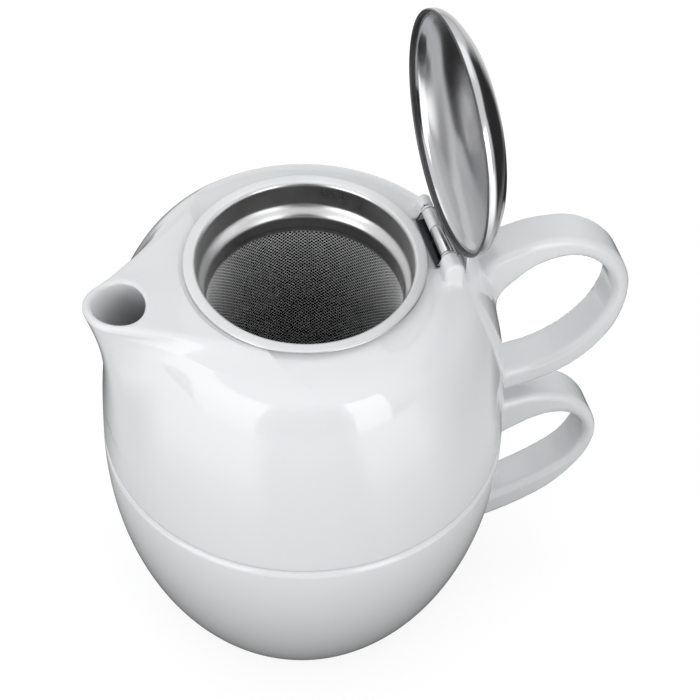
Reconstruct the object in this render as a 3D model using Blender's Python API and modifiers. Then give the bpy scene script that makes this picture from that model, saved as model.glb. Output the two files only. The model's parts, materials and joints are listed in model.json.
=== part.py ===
"""Tea-for-one set: porcelain cup, porcelain teapot, steel basket infuser and hinged steel lid.

Metres, +Z up. The teapot stands in the cup, spout towards -X, handles and lid hinge towards +X.
The origin is on the table, under the middle of the set's bounding box. The lid stands open.
"""
import math

import bmesh
import bpy
from mathutils import Vector

MM = 0.001
GAP = 0.3

# Driving dimensions, in millimetres from the teapot's axis and from the table.
BODY_R = 60.0
SEAM_Z = 77.5
LOWER_H = 90.5
SHOULDER_H = 78.3
SHOULDER_POWER = 3.0
LOWER_POWER = 2.0
CREST_Z = 146.6
CREST_R = 35.9
CREST_ARC_R = 12.5

CUP_WALL = 4.3
CUP_FLOOR_Z = 6.5
FOOT_R = 31.0
FOOT_INNER_R = 27.0
FOOT_DEPTH = 2.0
RIM_ROUND = 1.8
RIM_GAP = 0.2
FOOT_ROUND = 1.2

MOUTH_R = 33.2
SEAT_DEPTH = 1.2
CAVITY_R = 55.5
CAVITY_TOP_H = 68.0
CAVITY_FLOOR_Z = 59.0
NEST_R = 54.6
NEST_FOOT_Z = 53.5
NEST_FOOT_R = (37.0, 41.0)
NEST_ROUND = 10.0
POT_EDGE = 1.6

SPOUT_TIP_X = -66.2
SPOUT_TOP_Z = 145.3
SPOUT_NOSE_R = 10.2
SPOUT_SPREAD = 27.0
SPOUT_ROUND = 1.6
SPOUT_BACK_X = -36.0
SPOUT_FOOT = (-49.0, 117.0)
SPOUT_FOOT_R = 8.5
SPOUT_MOUTH_X = (-63.8, -48.2)
SPOUT_MOUTH_HALF = 8.3
SPOUT_MOUTH_EGG = 0.12
CHANNEL_END = (-43.0, 116.0)
CHANNEL_END_R = 7.5

POT_HANDLE_W = 13.0
CUP_HANDLE_W = 13.0
HANDLE_ROUND = 1.9
HANDLE_REACH = 99.6

FLANGE_R = 35.4
COLLAR_R = 31.35
RING_R = 28.6
COLLAR_WALL = 0.8
FLANGE_TOP_Z = 146.5
STEP_TOP_Z = 138.4
STEP_END_Z = 136.0
RING_END_Z = 131.2
MESH_SHEET = 0.5
BASKET_BASE_Z = 70.6
BAND_HEIGHT = 4.4
BAND_LIP_R = 26.0

LID_R = 35.6
LID_Z = 147.0
LID_SKIRT = 3.0
LID_RISE = 7.85
LID_POWER = 4.35
LID_SHEET = 0.8
LID_OPEN = 91.0
HEM_ROUND = 0.4

PIN_X = 40.07
PIN_Z = 146.67
PIN_R = 1.0
PIN_HALF = 13.4
KNUCKLE_R = 2.0
KNUCKLE_Y = (-8.9, 1.5)
SLEEVE_R = 1.9
SLEEVE_Y = (1.8, 8.9)
CHEEK_Y = 9.2
LEAF_HALF = 16.0
LEAF_Z = 149.9
LEAF_EDGE_X = 41.3
LEAF_SHEET = 0.8
BORE_PLAY = 0.1

POCKET_HALF = 10.2
POCKET_X = (34.0, 43.4)
POCKET_Z = 143.1
BRACKET_X = (36.3, 42.2)
BRACKET_SHEET = 0.6
BRACKET_TOP_Z = 148.57
EAR_R = 2.85
EAR_Y = (10.2, 16.4)
EAR_DEPTH = 9.0

# The bounding box runs from the spout's tip to the back of the teapot's handle.
AXIS_X = -(HANDLE_REACH + SPOUT_TIP_X) / 2.0

BODY_STEPS = 44
STEEL_STEPS = 48
ARC_STEPS = 5
INSIDE_STEPS = 10
PIN_STEPS = 24

PART_NAME = "tea_for_one_set"


def clear_scene():
    for thing in list(bpy.data.objects):
        bpy.data.objects.remove(thing, do_unlink=True)


def make_collection(name):
    found = bpy.data.collections.new(name)
    bpy.context.scene.collection.children.link(found)
    return found


def make_material(name, colour, roughness, metallic):
    material = bpy.data.materials.new(name)
    material.use_nodes = True
    shader = material.node_tree.nodes["Principled BSDF"]
    shader.inputs["Base Color"].default_value = (*colour, 1.0)
    shader.inputs["Roughness"].default_value = roughness
    shader.inputs["Metallic"].default_value = metallic
    return material


def add_object(name, data, collection, material=None):
    thing = bpy.data.objects.new(name, data)
    collection.objects.link(thing)
    if material is not None:
        thing.data.materials.append(material)
    return thing


def as_cutter(thing):
    thing.hide_render = True
    thing.display_type = "WIRE"
    return thing


def profile_object(name, points, collection, closed, steps, material=None):
    """A turned shape: points are (radius, height) in millimetres, down the outer side."""
    mesh = bpy.data.meshes.new(name)
    verts = [(radius * MM, 0.0, height * MM) for radius, height in points]
    edges = [(i, i + 1) for i in range(len(points) - 1)]
    if closed:
        edges.append((len(points) - 1, 0))
    mesh.from_pydata(verts, edges, [])
    thing = add_object(name, mesh, collection, material)
    turn = thing.modifiers.new("turn", "SCREW")
    turn.axis = "Z"
    turn.angle = math.tau
    turn.steps = steps
    turn.render_steps = steps
    turn.use_merge_vertices = True
    turn.merge_threshold = 0.00001
    return thing


def outline_object(name, points, half_width, collection, round_edge, resolution=3):
    """A smooth closed outline in the XZ plane, as thick as twice half_width along Y, as a mesh."""
    curve = bpy.data.curves.new(name, "CURVE")
    curve.dimensions = "2D"
    curve.fill_mode = "BOTH"
    curve.resolution_u = resolution
    curve.extrude = (half_width - round_edge) * MM
    curve.bevel_depth = round_edge * MM
    curve.bevel_resolution = 1
    curve.offset = -round_edge * MM
    spline = curve.splines.new("BEZIER")
    spline.bezier_points.add(len(points) - 1)
    for point, (x, z) in zip(spline.bezier_points, points):
        point.co = (x * MM, z * MM, 0.0)
        point.handle_left_type = "AUTO"
        point.handle_right_type = "AUTO"
    spline.use_cyclic_u = True
    drawn = add_object(name + "_curve", curve, collection)
    drawn.rotation_euler = (math.pi / 2.0, 0.0, 0.0)
    return mesh_from_curve(drawn, name, collection)


def mesh_from_curve(drawn, name, collection):
    bpy.context.view_layer.update()
    evaluated = drawn.evaluated_get(bpy.context.evaluated_depsgraph_get())
    mesh = bpy.data.meshes.new_from_object(evaluated)
    mesh.name = name
    shape = bmesh.new()
    shape.from_mesh(mesh)
    bmesh.ops.remove_doubles(shape, verts=shape.verts, dist=0.00001)
    bmesh.ops.recalc_face_normals(shape, faces=shape.faces)
    shape.to_mesh(mesh)
    shape.free()
    thing = add_object(name, mesh, collection)
    thing.matrix_world = drawn.matrix_world
    bpy.data.objects.remove(drawn, do_unlink=True)
    return thing


def box_object(name, low, high, collection, material=None, round_edge=0.0):
    """A box between two corners in millimetres."""
    shape = bmesh.new()
    bmesh.ops.create_cube(shape, size=1.0)
    for vert in shape.verts:
        for axis in range(3):
            middle = (low[axis] + high[axis]) / 2.0
            vert.co[axis] = (middle + vert.co[axis] * (high[axis] - low[axis])) * MM
    mesh = bpy.data.meshes.new(name)
    shape.to_mesh(mesh)
    shape.free()
    thing = add_object(name, mesh, collection, material)
    if round_edge:
        bevel = thing.modifiers.new("round", "BEVEL")
        bevel.width = round_edge * MM
        bevel.segments = 2
        bevel.limit_method = "ANGLE"
    return thing


def cone_object(name, start, end, start_r, end_r, segments, collection, material=None):
    """A cone or cylinder from start to end, both in millimetres."""
    shape = bmesh.new()
    first = Vector(start) * MM
    last = Vector(end) * MM
    length = (last - first).length
    bmesh.ops.create_cone(shape, cap_ends=True, segments=segments, radius1=start_r * MM,
                          radius2=end_r * MM, depth=length)
    turn = (last - first).to_track_quat("Z", "Y").to_matrix().to_4x4()
    bmesh.ops.transform(shape, matrix=turn, verts=shape.verts)
    bmesh.ops.translate(shape, vec=(first + last) / 2.0, verts=shape.verts)
    mesh = bpy.data.meshes.new(name)
    shape.to_mesh(mesh)
    shape.free()
    return add_object(name, mesh, collection, material)


def combine(target, other, operation):
    step = target.modifiers.new(other.name, "BOOLEAN")
    step.operation = operation
    step.object = other
    return step


def shade_round(thing, degrees=35.0):
    thing.data.shade_smooth()
    thing.data.set_sharp_from_angle(angle=math.radians(degrees))


def closing(share, power):
    """The other semi-axis' share, at a share of one semi-axis of a superellipse."""
    return (1.0 - share ** power) ** (1.0 / power)


def superellipse(radius, height, centre_z, power, level):
    """Radius of an egg-shaped wall at a level above or below its widest circle."""
    return radius * closing(min(abs(level - centre_z) / height, 1.0), power)


def wall_points(radius, height, centre_z, power, top, bottom, count):
    """Points down a wall, at even steps of height."""
    points = []
    for i in range(count + 1):
        level = top + (bottom - top) * i / count
        points.append((superellipse(radius, height, centre_z, power, level), level))
    return points


def arc_points(centre, radius, start, end, count=ARC_STEPS):
    """Points on an arc in the (radius, height) plane, angles in degrees from +r towards +z."""
    points = []
    for i in range(count + 1):
        angle = math.radians(start + (end - start) * i / count)
        points.append((centre[0] + radius * math.cos(angle), centre[1] + radius * math.sin(angle)))
    return points


def cup_profile():
    """The cup, from the middle of its inner floor over the rim and down to its foot ring."""
    rim_z = SEAM_Z - RIM_GAP
    round_z = rim_z - RIM_ROUND
    inner_r = BODY_R - CUP_WALL
    depth = round_z - CUP_FLOOR_Z
    points = []
    for i in range(INSIDE_STEPS):
        angle = math.pi / 2.0 * (1.0 - i / INSIDE_STEPS)
        points.append((inner_r * math.cos(angle), round_z - depth * math.sin(angle)))
    points += arc_points((inner_r + RIM_ROUND, round_z), RIM_ROUND, 180.0, 90.0, 3)
    points += arc_points((BODY_R - RIM_ROUND, round_z), RIM_ROUND, 90.0, 0.0, 3)
    points += wall_points(BODY_R, LOWER_H, SEAM_Z, LOWER_POWER, SEAM_Z - 10.0, 1.0, 9)
    points += [(FOOT_R - FOOT_ROUND, 0.0), (FOOT_INNER_R, 0.0)]
    points += [(FOOT_INNER_R - 1.5, FOOT_DEPTH), (0.0, FOOT_DEPTH)]
    return points


def pot_profile():
    """The teapot's outside, from the top of its solid body down to its foot inside the cup."""
    points = [(0.0, CREST_Z), (CREST_R, CREST_Z)]
    arc_centre = (CREST_R, CREST_Z - CREST_ARC_R)
    points += arc_points(arc_centre, CREST_ARC_R, 78.0, 44.0, 3)
    points += wall_points(BODY_R, SHOULDER_H, SEAM_Z, SHOULDER_POWER, 140.0, SEAM_Z + 3.0, 11)
    points += [(BODY_R - 0.4, SEAM_Z + 1.0), (BODY_R - POT_EDGE, SEAM_Z + 0.1), (NEST_R, SEAM_Z + 0.1)]
    points += [(NEST_R - 0.6, 71.0), (NEST_R - 2.6, 64.0)]
    points += arc_points((42.0, NEST_FOOT_Z + NEST_ROUND), NEST_ROUND, -20.0, -80.0, 4)
    foot_in, foot_out = NEST_FOOT_R
    points += [(foot_out, NEST_FOOT_Z), (foot_in, NEST_FOOT_Z)]
    points += [(foot_in - 1.0, NEST_FOOT_Z + 1.5), (0.0, NEST_FOOT_Z + 1.5)]
    return points


def cavity_profile():
    """The hollow of the teapot, with the mouth above it."""
    top = CREST_Z + 4.0
    neck_z = SEAM_Z + CAVITY_TOP_H * closing(MOUTH_R / CAVITY_R, SHOULDER_POWER)
    points = [(0.0, top), (MOUTH_R, top), (MOUTH_R, neck_z)]
    for share in (0.7, 0.8, 0.88, 0.94):
        points.append((CAVITY_R * share, SEAM_Z + CAVITY_TOP_H * closing(share, SHOULDER_POWER)))
    points += wall_points(CAVITY_R, CAVITY_TOP_H, SEAM_Z, SHOULDER_POWER, 112.0, 92.0, 2)
    points += [(54.0, 85.5), (51.8, 80.5), (50.2, 76.0), (49.2, 70.0)]
    points += arc_points((39.5, CAVITY_FLOOR_Z + 9.0), 9.0, -10.0, -90.0, 3)
    points += [(0.0, CAVITY_FLOOR_Z)]
    return points


def seat_profile():
    seat_z = CREST_Z - SEAT_DEPTH
    return [(0.0, CREST_Z + 4.0), (CREST_R, CREST_Z + 4.0), (CREST_R, seat_z), (0.0, seat_z)]


def hull_object(name, points, cutters):
    """The smallest convex solid round a set of points in millimetres."""
    shape = bmesh.new()
    for point in points:
        shape.verts.new(Vector(point) * MM)
    found = bmesh.ops.convex_hull(shape, input=shape.verts)
    unused = list(set(found["geom_interior"] + found["geom_unused"]))
    bmesh.ops.delete(shape, geom=[item for item in unused if isinstance(item, bmesh.types.BMVert)],
                     context="VERTS")
    bmesh.ops.recalc_face_normals(shape, faces=shape.faces)
    mesh = bpy.data.meshes.new(name)
    shape.to_mesh(mesh)
    shape.free()
    return as_cutter(add_object(name, mesh, cutters))


def ring(centre_x, height, radius, count):
    return [(centre_x + radius * math.cos(math.tau * i / count),
             radius * math.sin(math.tau * i / count), height) for i in range(count)]


def beak_outline(inset, height):
    """The beak from above: a round nose whose sides spread in straight lines back to the shoulder."""
    spread = math.radians(SPOUT_SPREAD)
    radius = SPOUT_NOSE_R - inset
    centre_x = SPOUT_TIP_X + SPOUT_NOSE_R
    half = []
    for i in range(6):
        angle = (math.pi / 2.0 - spread) * i / 5.0
        half.append((centre_x - radius * math.cos(angle), radius * math.sin(angle), height))
    last_x, last_y, _ = half[-1]
    half.append((SPOUT_BACK_X, last_y + (SPOUT_BACK_X - last_x) * math.tan(spread), height))
    return half + [(x, -y, z) for x, y, z in half]


def make_spout(cutters):
    """The beak: a level rounded top that narrows downwards into the body's side."""
    points = beak_outline(SPOUT_ROUND, SPOUT_TOP_Z)
    points += beak_outline(SPOUT_ROUND * 0.3, SPOUT_TOP_Z - SPOUT_ROUND * 0.3)
    points += beak_outline(0.0, SPOUT_TOP_Z - SPOUT_ROUND)
    points += ring(SPOUT_FOOT[0], SPOUT_FOOT[1], SPOUT_FOOT_R, 20)
    return hull_object("spout_beak", points, cutters)


def make_channel(cutters):
    """The way out through the beak: an egg-shaped mouth that runs down into the pot as a round hole."""
    middle = (SPOUT_MOUTH_X[0] + SPOUT_MOUTH_X[1]) / 2.0
    half_length = (SPOUT_MOUTH_X[1] - SPOUT_MOUTH_X[0]) / 2.0
    lift = 6.0
    lean = (CHANNEL_END[0] - middle) / (SPOUT_TOP_Z - CHANNEL_END[1])
    points = []
    for x, y, _ in ring(0.0, 0.0, 1.0, 24):
        narrowing = 1.0 + SPOUT_MOUTH_EGG * x
        points.append((middle + half_length * x - lean * lift, SPOUT_MOUTH_HALF * y * narrowing,
                       SPOUT_TOP_Z + lift))
    points += ring(CHANNEL_END[0], CHANNEL_END[1], CHANNEL_END_R, 24)
    return hull_object("spout_channel", points, cutters)


def pot_handle_outline():
    outer = [(54.0, 134.5), (63.5, 138.8), (73.5, 139.7), (84.0, 137.4), (93.0, 130.2), (98.4, 120.5),
             (HANDLE_REACH, 110.5), (97.0, 99.0), (91.0, 89.6), (82.0, 82.6), (71.0, 79.0), (57.0, 78.1)]
    inner = [(56.0, 85.5), (64.3, 86.4), (73.0, 87.6), (82.5, 91.8), (90.0, 99.2), (94.2, 108.0),
             (94.4, 115.5), (90.6, 124.0), (84.5, 129.8), (76.7, 131.9), (68.5, 129.9), (61.0, 124.0),
             (55.0, 118.5)]
    return outer + inner


def cup_handle_outline():
    outer = [(52.0, 70.5), (63.0, 71.8), (73.5, 72.0), (83.0, 68.6), (90.0, 61.4), (93.7, 51.0),
             (92.0, 41.2), (86.6, 33.2), (79.0, 26.6), (69.4, 22.2), (58.0, 19.0), (43.0, 16.5)]
    inner = [(45.0, 26.0), (57.0, 28.0), (67.2, 30.8), (77.0, 34.6), (84.6, 39.2), (89.2, 46.4),
             (89.0, 53.4), (85.0, 59.2), (79.0, 61.9), (72.0, 61.4), (64.0, 58.4), (54.0, 54.0)]
    return outer + inner


def make_cup(parts, cutters, material):
    """Cup with its handle: the solid body, the handle, then the hollow."""
    profile = cup_profile()
    cup = profile_object("cup_body", profile, parts, False, BODY_STEPS, material)
    handle = outline_object("cup_handle", cup_handle_outline(), CUP_HANDLE_W / 2.0, cutters, HANDLE_ROUND)
    skin = 0.02
    top = SEAM_Z + 20.0
    hollow = [(0.0, top), (BODY_R - CUP_WALL - skin, top)]
    hollow += [(radius - skin, level) for radius, level in reversed(profile[:INSIDE_STEPS])]
    room = profile_object("cup_hollow", hollow, cutters, False, BODY_STEPS)
    combine(handle, as_cutter(room), "DIFFERENCE")
    combine(cup, as_cutter(handle), "UNION")
    shade_round(cup)
    return cup


def make_pot(parts, cutters, material):
    """Teapot: body, spout, handle and ears joined, then the hollow, mouth, seat and pocket cut."""
    pot = profile_object("teapot_body", pot_profile(), parts, False, BODY_STEPS, material)
    handle = outline_object("pot_handle", pot_handle_outline(), POT_HANDLE_W / 2.0, cutters, HANDLE_ROUND)
    combine(pot, as_cutter(handle), "UNION")
    combine(pot, make_spout(cutters), "UNION")
    for side in (-1.0, 1.0):
        y_low, y_high = sorted((side * EAR_Y[0], side * EAR_Y[1]))
        where = "near" if side < 0.0 else "far"
        foot = box_object("ear_foot_" + where, (PIN_X - EAR_R, y_low, PIN_Z - EAR_DEPTH),
                          (PIN_X + EAR_R, y_high, PIN_Z), cutters)
        boss = cone_object("ear_boss_" + where, (PIN_X, y_low, PIN_Z), (PIN_X, y_high, PIN_Z),
                           EAR_R, EAR_R, PIN_STEPS, cutters)
        combine(pot, as_cutter(foot), "UNION")
        combine(pot, as_cutter(boss), "UNION")
    seat = profile_object("seat", seat_profile(), cutters, False, BODY_STEPS)
    cavity = profile_object("cavity", cavity_profile(), cutters, False, BODY_STEPS)
    pocket = box_object("hinge_pocket", (POCKET_X[0], -POCKET_HALF, POCKET_Z),
                        (POCKET_X[1], POCKET_HALF, PIN_Z + 6.0), cutters)
    bore_y = PIN_HALF + GAP + 0.2
    bore = cone_object("pin_bore", (PIN_X, -bore_y, PIN_Z), (PIN_X, bore_y, PIN_Z),
                       PIN_R + GAP, PIN_R + GAP, 16, cutters)
    for cutter in (seat, cavity, make_channel(cutters), pocket, bore):
        combine(pot, as_cutter(cutter), "DIFFERENCE")
    shade_round(pot)
    return pot


def collar_profile():
    flange_under = FLANGE_TOP_Z - COLLAR_WALL
    outside = COLLAR_R + COLLAR_WALL
    ring_out = RING_R + COLLAR_WALL
    points = arc_points((COLLAR_R + 1.0, FLANGE_TOP_Z - 1.0), 1.0, 180.0, 90.0, 3)
    points += [(FLANGE_R - 0.3, FLANGE_TOP_Z), (FLANGE_R, FLANGE_TOP_Z - 0.3), (FLANGE_R, flange_under)]
    points += [(outside, flange_under), (outside, STEP_TOP_Z - 0.3), (ring_out, STEP_END_Z - 0.3)]
    points += [(ring_out, RING_END_Z), (RING_R, RING_END_Z), (RING_R, STEP_END_Z), (COLLAR_R, STEP_TOP_Z)]
    return points


def make_infuser(parts, steel, mesh_steel):
    """Basket: drawn collar, perforated wall and floor, and the crimped band round its base."""
    collar = profile_object("infuser_collar", collar_profile(), parts, True, STEEL_STEPS, steel)
    wall_in = RING_R + 0.15
    wall_out = wall_in + MESH_SHEET
    wall_low = BASKET_BASE_Z + MESH_SHEET + GAP
    wall_high = RING_END_Z - GAP
    wall = profile_object("infuser_mesh_wall", [(wall_out, wall_high), (wall_out, wall_low),
                                                (wall_in, wall_low), (wall_in, wall_high)],
                          parts, True, STEEL_STEPS, mesh_steel)
    floor_r = wall_in - GAP
    floor_top = wall_low + MESH_SHEET
    floor = profile_object("infuser_mesh_floor", [(0.0, floor_top), (floor_r, floor_top),
                                                  (floor_r, wall_low), (0.0, wall_low)],
                           parts, False, STEEL_STEPS, mesh_steel)
    band_in = wall_out + GAP
    band_out = band_in + 0.6
    band_top = BASKET_BASE_Z + BAND_HEIGHT
    lip_top = BASKET_BASE_Z + MESH_SHEET
    band_points = [(band_in, band_top), (band_out, band_top), (band_out, BASKET_BASE_Z + 0.4),
                   (band_out - 0.4, BASKET_BASE_Z), (BAND_LIP_R, BASKET_BASE_Z),
                   (BAND_LIP_R, lip_top), (band_in, lip_top)]
    band = profile_object("infuser_bottom_band", band_points, parts, True, STEEL_STEPS, steel)
    for thing in (collar, wall, floor, band):
        shade_round(thing)
    return [collar, wall, floor, band]


def lid_height(share):
    """Height of the lid's outside above its rim plane, at a share of its radius."""
    return LID_Z + LID_SKIRT + LID_RISE * (1.0 - share ** LID_POWER)


def dome_profile():
    """The lid closed, seen from its own centre: a shallow dome on a short upright skirt."""
    shares = (0.0, 0.22, 0.42, 0.6, 0.74, 0.85, 0.94)
    outside = [(LID_R * share, lid_height(share)) for share in shares]
    outside += [(LID_R - 0.3, LID_Z + LID_SKIRT), (LID_R, LID_Z + LID_SKIRT - 0.8)]
    hem_top = LID_Z + HEM_ROUND
    hem = [(LID_R, hem_top), (LID_R - HEM_ROUND, LID_Z), (LID_R - LID_SHEET, hem_top)]
    inside = [(LID_R - LID_SHEET, LID_Z + LID_SKIRT - 1.2)]
    for share in reversed(shares):
        slope = LID_RISE * LID_POWER / LID_R * share ** (LID_POWER - 1.0)
        length = math.hypot(1.0, slope)
        inside.append((max(LID_R * share - LID_SHEET * slope / length, 0.0),
                       lid_height(share) - LID_SHEET / length))
    return outside + hem + inside


def pin_hole(name, low_y, high_y, cutters):
    """A round hole on the hinge axis, a little wider than the pin."""
    hole_r = PIN_R + BORE_PLAY
    return as_cutter(cone_object(name, (PIN_X, low_y, PIN_Z), (PIN_X, high_y, PIN_Z),
                                 hole_r, hole_r, PIN_STEPS, cutters))


def make_leaf(parts, cutters, steel):
    """Tab of the lid: a flat plate over the hinge, turned down into the knuckle."""
    top = LEAF_Z + LEAF_SHEET
    low_y, high_y = KNUCKLE_Y
    plate = box_object("lid_hinge_leaf", (27.0, -LEAF_HALF, LEAF_Z), (LEAF_EDGE_X, LEAF_HALF, top),
                       parts, steel)
    room_r = LID_R + GAP
    above = LEAF_Z + 4.0
    below = LEAF_Z - 4.0
    dome_room = profile_object("leaf_cut", [(0.0, above), (room_r, above), (room_r, below), (0.0, below)],
                               cutters, False, STEEL_STEPS)
    web = box_object("leaf_web", (PIN_X + 0.7, low_y, PIN_Z - 0.4), (PIN_X + KNUCKLE_R, high_y, top),
                     cutters)
    barrel = cone_object("leaf_barrel", (PIN_X, low_y, PIN_Z), (PIN_X, high_y, PIN_Z),
                         KNUCKLE_R, KNUCKLE_R, PIN_STEPS, cutters)
    bore = pin_hole("leaf_bore", low_y - 2.0, high_y + 2.0, cutters)
    combine(plate, as_cutter(dome_room), "DIFFERENCE")
    combine(plate, as_cutter(web), "UNION")
    combine(plate, as_cutter(barrel), "UNION")
    combine(plate, bore, "DIFFERENCE")
    shade_round(plate)
    return plate, [dome_room, web, barrel, bore]


def make_bracket(parts, cutters, steel):
    """Pressed plate in the pocket: a floor with two cheeks that carry the pin."""
    floor_z = POCKET_Z + GAP
    low_x, high_x = BRACKET_X
    half = POCKET_HALF - GAP
    bracket = box_object("hinge_bracket", (low_x, -half, floor_z), (high_x, half, BRACKET_TOP_Z),
                         parts, steel)
    room = box_object("bracket_room", (low_x - 1.0, -CHEEK_Y, floor_z + BRACKET_SHEET),
                      (high_x + 1.0, CHEEK_Y, BRACKET_TOP_Z + 3.0), cutters)
    combine(bracket, as_cutter(room), "DIFFERENCE")
    combine(bracket, pin_hole("bracket_bore", -half - 1.0, half + 1.0, cutters), "DIFFERENCE")
    shade_round(bracket)
    return bracket


def make_pin(parts, steel):
    pin = cone_object("hinge_pin", (PIN_X, -PIN_HALF, PIN_Z), (PIN_X, PIN_HALF, PIN_Z), PIN_R, PIN_R,
                      PIN_STEPS, parts, steel)
    shade_round(pin)
    return pin


def make_sleeve(parts, cutters, steel):
    """The second length of barrel, which keeps the knuckle in its place along the pin."""
    low_y, high_y = SLEEVE_Y
    sleeve = cone_object("hinge_spacer_sleeve", (PIN_X, low_y, PIN_Z), (PIN_X, high_y, PIN_Z),
                         SLEEVE_R, SLEEVE_R, PIN_STEPS, parts, steel)
    combine(sleeve, pin_hole("sleeve_bore", low_y - 2.0, high_y + 2.0, cutters), "DIFFERENCE")
    shade_round(sleeve)
    return sleeve


def hang(children, parent):
    """Parent objects to an empty and keep the places that they were modelled in."""
    bpy.context.view_layer.update()
    for child in children:
        child.parent = parent
        child.matrix_parent_inverse = parent.matrix_world.inverted()


def make_empty(name, place, collection):
    empty = bpy.data.objects.new(name, None)
    empty.location = Vector(place) * MM
    collection.objects.link(empty)
    return empty


def main():
    clear_scene()
    parts = make_collection(PART_NAME)
    cutters = make_collection("cutters")
    porcelain = make_material("porcelain", (0.82, 0.83, 0.83), 0.1, 0.0)
    polished = make_material("polished_steel", (0.62, 0.62, 0.63), 0.12, 1.0)
    satin = make_material("satin_steel", (0.66, 0.66, 0.66), 0.3, 1.0)
    perforated = make_material("perforated_steel", (0.3, 0.3, 0.3), 0.4, 1.0)

    make_cup(parts, cutters, porcelain)
    make_pot(parts, cutters, porcelain)
    make_infuser(parts, satin, perforated)
    make_bracket(parts, cutters, polished)
    make_pin(parts, polished)
    make_sleeve(parts, cutters, polished)
    dome = profile_object("lid_dome", dome_profile(), parts, False, STEEL_STEPS, polished)
    shade_round(dome)
    leaf, leaf_tools = make_leaf(parts, cutters, polished)

    hinge = make_empty("lid_hinge_axis", (PIN_X, 0.0, PIN_Z), parts)
    hang([dome, leaf, *leaf_tools], hinge)
    hinge.rotation_euler = (0.0, math.radians(LID_OPEN), 0.0)

    axis = make_empty("set_axis", (0.0, 0.0, 0.0), parts)
    loose = [thing for thing in bpy.data.objects if thing.parent is None and thing is not axis]
    hang(loose, axis)
    axis.location.x = AXIS_X * MM
    bpy.context.view_layer.update()


main()
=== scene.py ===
"""Looks of the tea-for-one set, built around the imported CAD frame.

The porcelain is one smooth glazed surface per piece: it is described as a field of distances, in
millimetres from the teapot's axis, and meshed here. The steel is turned and perforated sheet.
"""
import json
import math

import bmesh
import bpy
import numpy as np
from mathutils import Matrix, Vector


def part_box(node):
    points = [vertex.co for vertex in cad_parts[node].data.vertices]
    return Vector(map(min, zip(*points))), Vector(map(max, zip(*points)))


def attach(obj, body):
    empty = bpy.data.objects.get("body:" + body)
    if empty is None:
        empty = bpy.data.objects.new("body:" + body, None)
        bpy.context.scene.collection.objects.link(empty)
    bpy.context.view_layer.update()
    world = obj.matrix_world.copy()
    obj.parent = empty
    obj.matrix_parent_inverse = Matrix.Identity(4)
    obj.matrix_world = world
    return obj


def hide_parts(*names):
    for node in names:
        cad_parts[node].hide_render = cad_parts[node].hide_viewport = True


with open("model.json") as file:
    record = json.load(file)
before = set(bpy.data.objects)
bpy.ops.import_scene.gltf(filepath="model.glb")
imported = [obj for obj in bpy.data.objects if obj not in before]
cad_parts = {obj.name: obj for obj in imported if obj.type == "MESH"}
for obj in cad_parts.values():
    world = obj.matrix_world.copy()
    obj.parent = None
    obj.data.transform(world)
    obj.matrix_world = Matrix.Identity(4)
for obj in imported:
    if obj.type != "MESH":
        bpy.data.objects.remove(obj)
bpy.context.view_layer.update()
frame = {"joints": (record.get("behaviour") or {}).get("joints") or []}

MM = 0.001

# Places read from the frame, in metres and then in millimetres from the teapot's axis.
COLLAR_LOW, COLLAR_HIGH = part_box("infuser_collar")
AXIS_X = (COLLAR_LOW.x + COLLAR_HIGH.x) / 2.0
FLANGE_Z = COLLAR_HIGH.z / MM
FLANGE_R = (COLLAR_HIGH.x - COLLAR_LOW.x) / 2.0 / MM
HINGE = frame["joints"][2]["pos_m"]
PIN_X = (HINGE[0] - AXIS_X) / MM
PIN_Z = HINGE[2] / MM
LID_OPEN = frame["joints"][2]["range_deg"][1]
CUP_LOW, CUP_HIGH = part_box("cup_body")
BODY_R = (CUP_HIGH.y - CUP_LOW.y) / 2.0 / MM
RIM_Z = CUP_HIGH.z / MM
SEAM_Z = RIM_Z + 0.2
BASKET_BASE_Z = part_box("infuser_bottom_band")[0].z / MM
MESH_LOW_Z, MESH_TOP_Z = [corner.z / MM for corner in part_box("infuser_mesh_wall")]


# -------------------------------- camera, table and light

CAMERA_AZIMUTH = -16.95
CAMERA_ELEVATION = 49.3
CAMERA_DISTANCE = 1.0618
CAMERA_ROLL = 0.84
CAMERA_LENS = 180.0
CAMERA_AIM = (AXIS_X, 0.0, 0.07)
# The middle of the view lies this far to the side of the aim, and above it, as tangents.
AIM_SIDE = 0.01351
AIM_UP = 0.02429

# Grey levels by height: 0 is straight down, 0.5 the horizon, 1 straight up.
ROOM_LIGHT = ((0.0, 0.3), (0.5, 0.98), (0.62, 0.88), (0.8, 0.64), (1.0, 0.55))
ROOM_REFLECTED = ((0.0, 0.03), (0.5, 0.6), (0.62, 0.8), (0.85, 0.95))
# Levels by angle, in degrees to the right of the camera's own direction. In reflections the room
# is dark between the two front panels and beside the handles, up to the heights of GAP_TOP.
ROOM_GAP = ((-180.0, 1.0), (-24.0, 1.0), (-14.0, 0.03), (20.0, 0.03), (27.0, 1.0), (72.0, 1.0),
            (84.0, 0.05), (138.0, 0.05), (150.0, 1.0), (180.0, 1.0))
GAP_TOP = (0.54, 0.76)
TABLE_FAR = ((-180.0, 0.85), (-104.0, 0.85), (-94.0, 0.4), (-84.0, 0.4), (-72.0, 1.75), (-26.0, 1.75),
             (-17.0, 0.5), (22.0, 0.5), (30.0, 1.7), (58.0, 1.7), (68.0, 0.7), (82.0, 0.03),
             (140.0, 0.03), (152.0, 0.8), (180.0, 0.85))
TABLE_PEAK = 2.1
# Pairs of distances, in metres, between which one level turns softly into the next.
TABLE_REACH = (0.09, 0.34)
TABLE_NEAR = ((0.05, 0.14), (0.12, 0.8))
TABLE_SHADOWS = (((-0.1, 0.19), (0.08, 0.15)), ((0.135, 0.1), (0.07, 0.1)))
SHADOW_LEVELS = (0.04, 1.0)
TABLE_BOUNCE = ((0.05, 0.2), (0.03, 0.32))
TABLE_HALF = 3.0
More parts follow.
